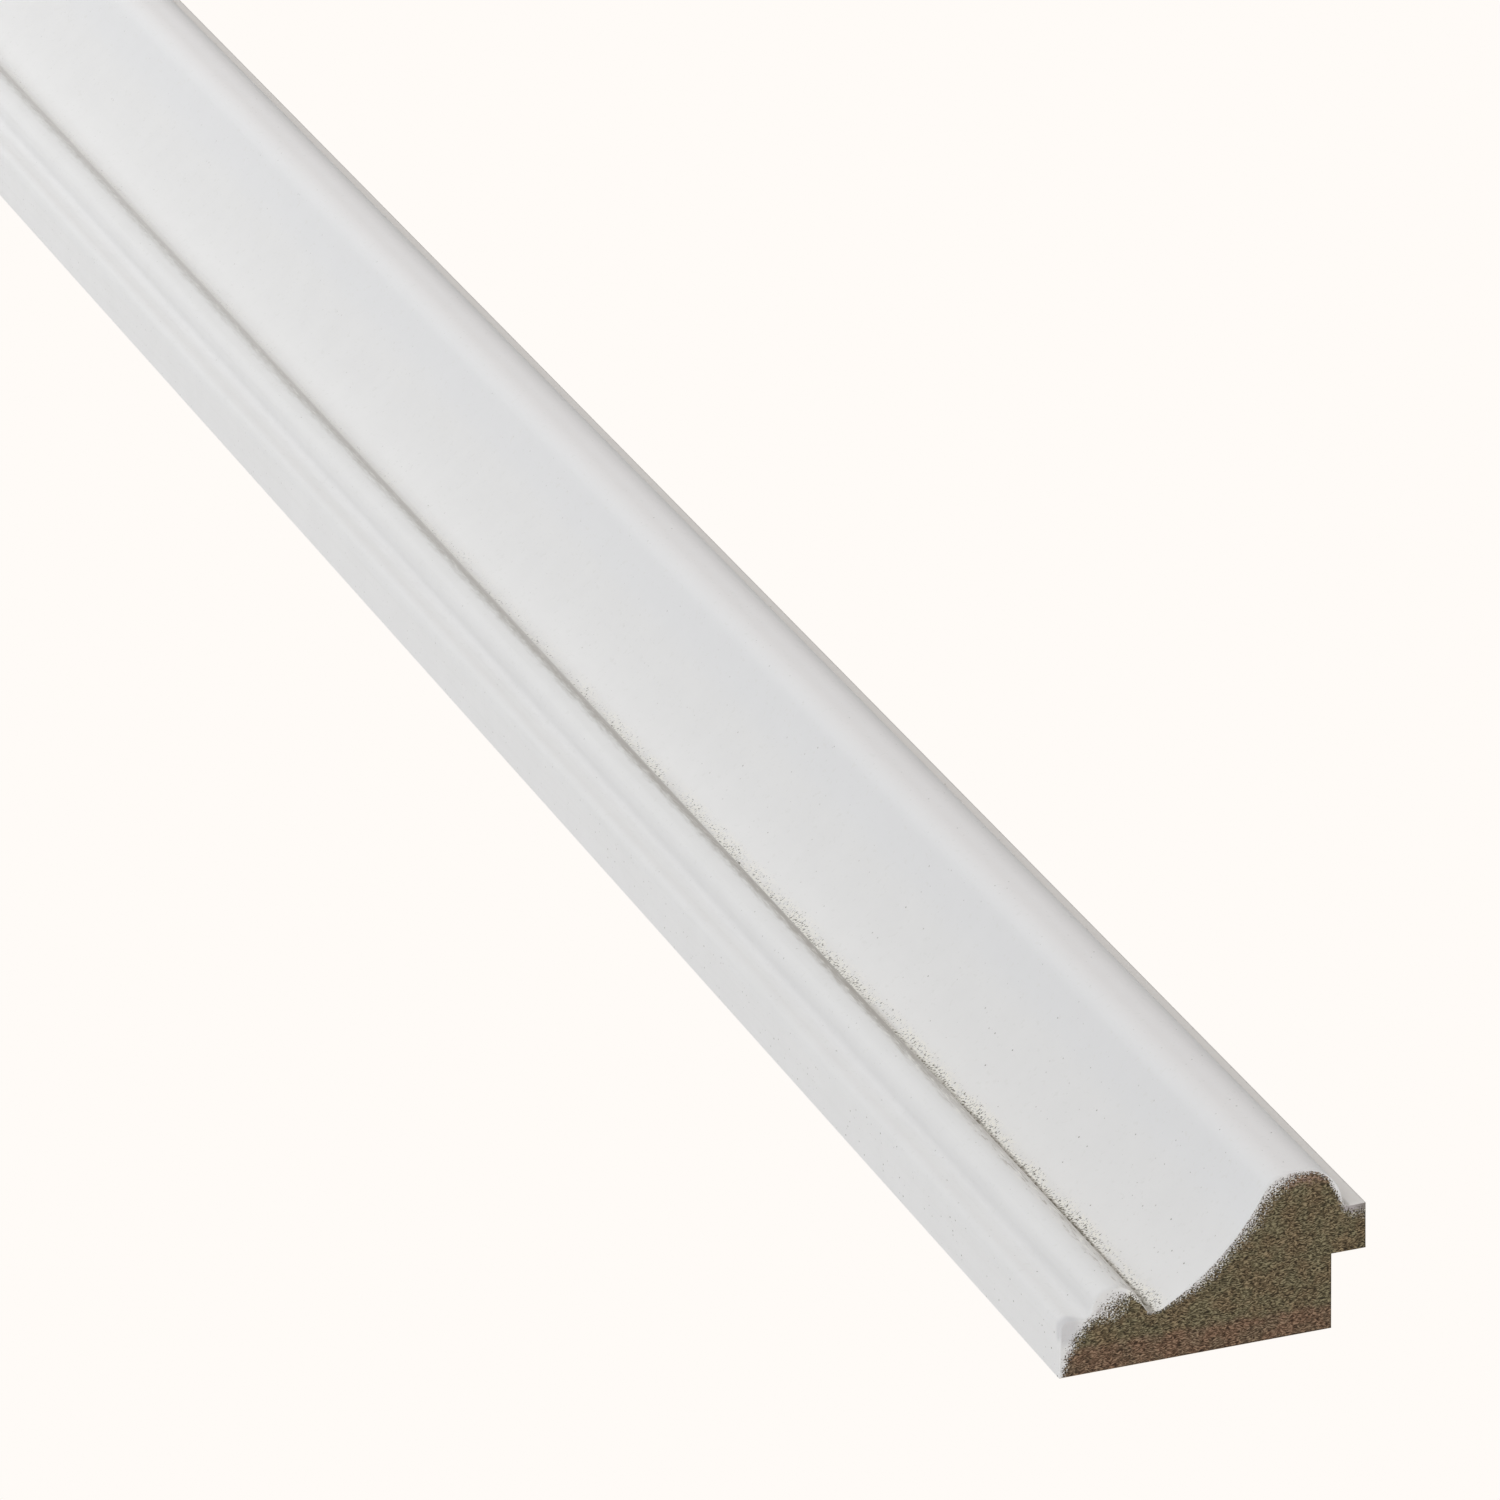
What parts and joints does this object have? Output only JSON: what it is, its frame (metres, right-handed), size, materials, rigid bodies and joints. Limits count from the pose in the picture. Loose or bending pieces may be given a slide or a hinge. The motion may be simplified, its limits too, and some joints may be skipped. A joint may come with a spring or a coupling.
{
  "type": "dado rail",
  "caption": "Dado rail moulding with a bead, a groove, a hollow rising to a ridge, and a rebated lip that laps over the edge of wall panelling.",
  "frame": {"origin": "centre of the flat back: midway along the rail and midway across its full width, in the plane of the wall", "axes": "+X along the rail, +Y across it from the bead side to the rebated lip, +Z out from the wall"},
  "size_m": [0.55, 0.04, 0.022],
  "materials": {
    "primed_mdf": "satin white primer on the moulded face, bare fibreboard on the sawn ends, the back and the rebate"
  },
  "bodies": {
    "root": {"dado_rail": "primed_mdf"}
  },
  "joints": []
}
